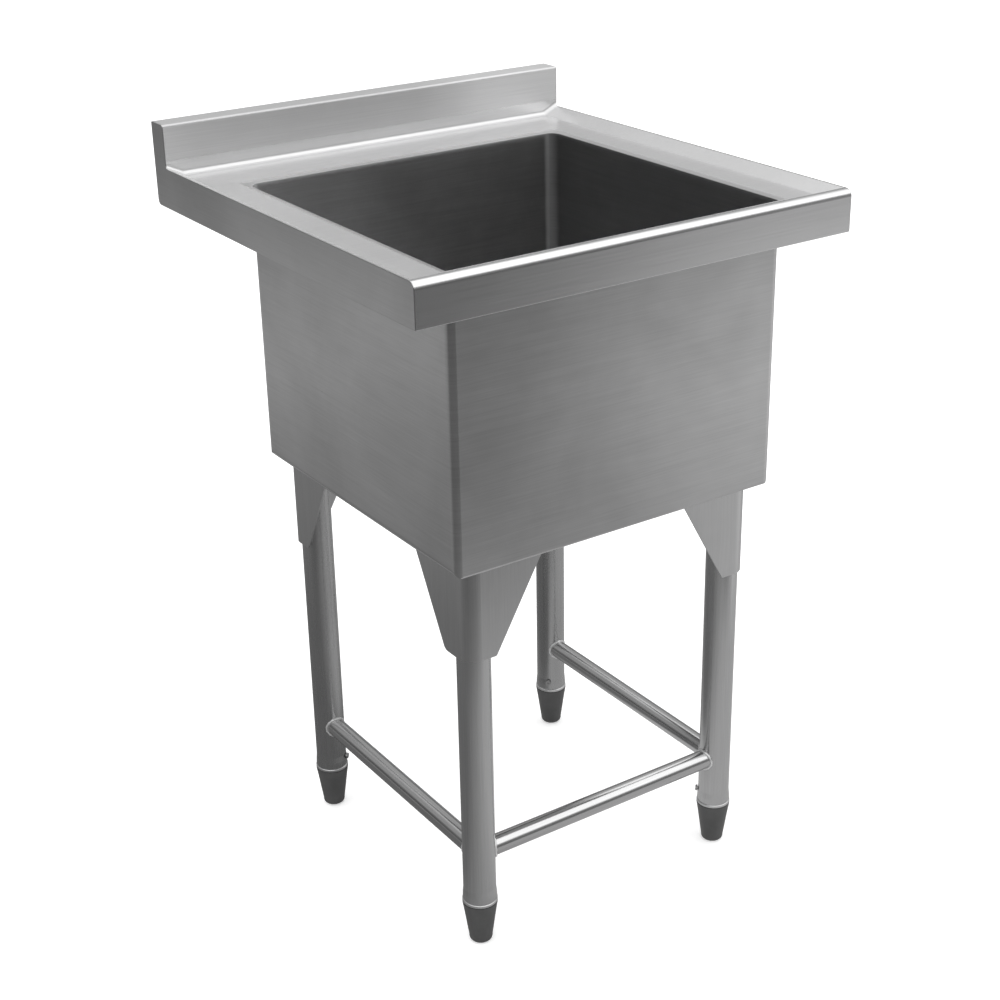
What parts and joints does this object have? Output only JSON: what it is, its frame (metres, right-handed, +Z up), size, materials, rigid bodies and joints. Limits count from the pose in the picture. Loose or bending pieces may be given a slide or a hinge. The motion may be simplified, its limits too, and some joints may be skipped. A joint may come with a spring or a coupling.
{
  "type": "freestanding utility sink",
  "caption": "Freestanding stainless steel utility sink: a deep square bowl under a recessed deck with a low splashback, on tubular legs with side and front rails and bullet feet.",
  "frame": {"origin": "on the floor, under the middle of the outline of the whole sink", "axes": "+X to the user's right along the front, +Y towards the splashback, +Z up"},
  "size_m": [0.6, 0.624, 0.9595],
  "materials": {
    "stainless_sheet": "fine satin grain along the sheet",
    "stainless_bowl": "satin, drawn and welded sheet",
    "stainless_tube": "fine satin grain along the tube",
    "insert_metal": "plain die-cast",
    "screw_steel": "plated",
    "polished_metal": "bright",
    "foot_plastic": "dark grey, slightly glossy",
    "white_plastic": "plain",
    "black_rubber": "matt"
  },
  "bodies": {
    "sink": {"deck_top": "stainless_sheet", "splashback": "stainless_sheet", "side_panel_left": "stainless_sheet", "side_panel_right": "stainless_sheet", "rear_stiffener": "stainless_sheet", "bowl": "stainless_bowl", "gusset_front_left": "stainless_sheet", "gusset_front_right": "stainless_sheet", "gusset_rear_left": "stainless_sheet", "gusset_rear_right": "stainless_sheet", "leg_front_left": "stainless_tube", "leg_front_right": "stainless_tube", "leg_rear_left": "stainless_tube", "leg_rear_right": "stainless_tube", "rail_left": "stainless_tube", "rail_right": "stainless_tube", "rail_front": "stainless_tube", "foot_insert_front_left": "insert_metal", "foot_insert_front_right": "insert_metal", "foot_insert_rear_left": "insert_metal", "foot_insert_rear_right": "insert_metal", "foot_set_screws": "screw_steel", "strainer_body": "stainless_bowl", "strainer_outlet": "insert_metal", "flange_seal": "black_rubber", "lower_gasket": "black_rubber", "friction_washer": "white_plastic", "locknut": "insert_metal", "tailpiece_washer": "white_plastic", "tailpiece": "polished_metal", "coupling_nut": "polished_metal"},
    "basket": {"strainer_basket": "polished_metal", "basket_seal": "black_rubber", "basket_post": "polished_metal"},
    "foot_front_left": {"foot_front_left": "foot_plastic", "foot_stud_front_left": "screw_steel"},
    "foot_front_right": {"foot_front_right": "foot_plastic", "foot_stud_front_right": "screw_steel"},
    "foot_rear_left": {"foot_rear_left": "foot_plastic", "foot_stud_rear_left": "screw_steel"},
    "foot_rear_right": {"foot_rear_right": "foot_plastic", "foot_stud_rear_right": "screw_steel"}
  },
  "joints": [
    {"name": "basket_lift", "type": "slide", "parent": "sink", "child": "basket", "axis": [0, 0, 1], "range_m": [0, 0.07]},
    {"name": "foot_front_left_height", "type": "slide", "parent": "sink", "child": "foot_front_left", "axis": [0, 0, -1], "range_m": [0, 0.025]},
    {"name": "foot_front_right_height", "type": "slide", "parent": "sink", "child": "foot_front_right", "axis": [0, 0, -1], "range_m": [0, 0.025]},
    {"name": "foot_rear_left_height", "type": "slide", "parent": "sink", "child": "foot_rear_left", "axis": [0, 0, -1], "range_m": [0, 0.025]},
    {"name": "foot_rear_right_height", "type": "slide", "parent": "sink", "child": "foot_rear_right", "axis": [0, 0, -1], "range_m": [0, 0.025]}
  ]
}
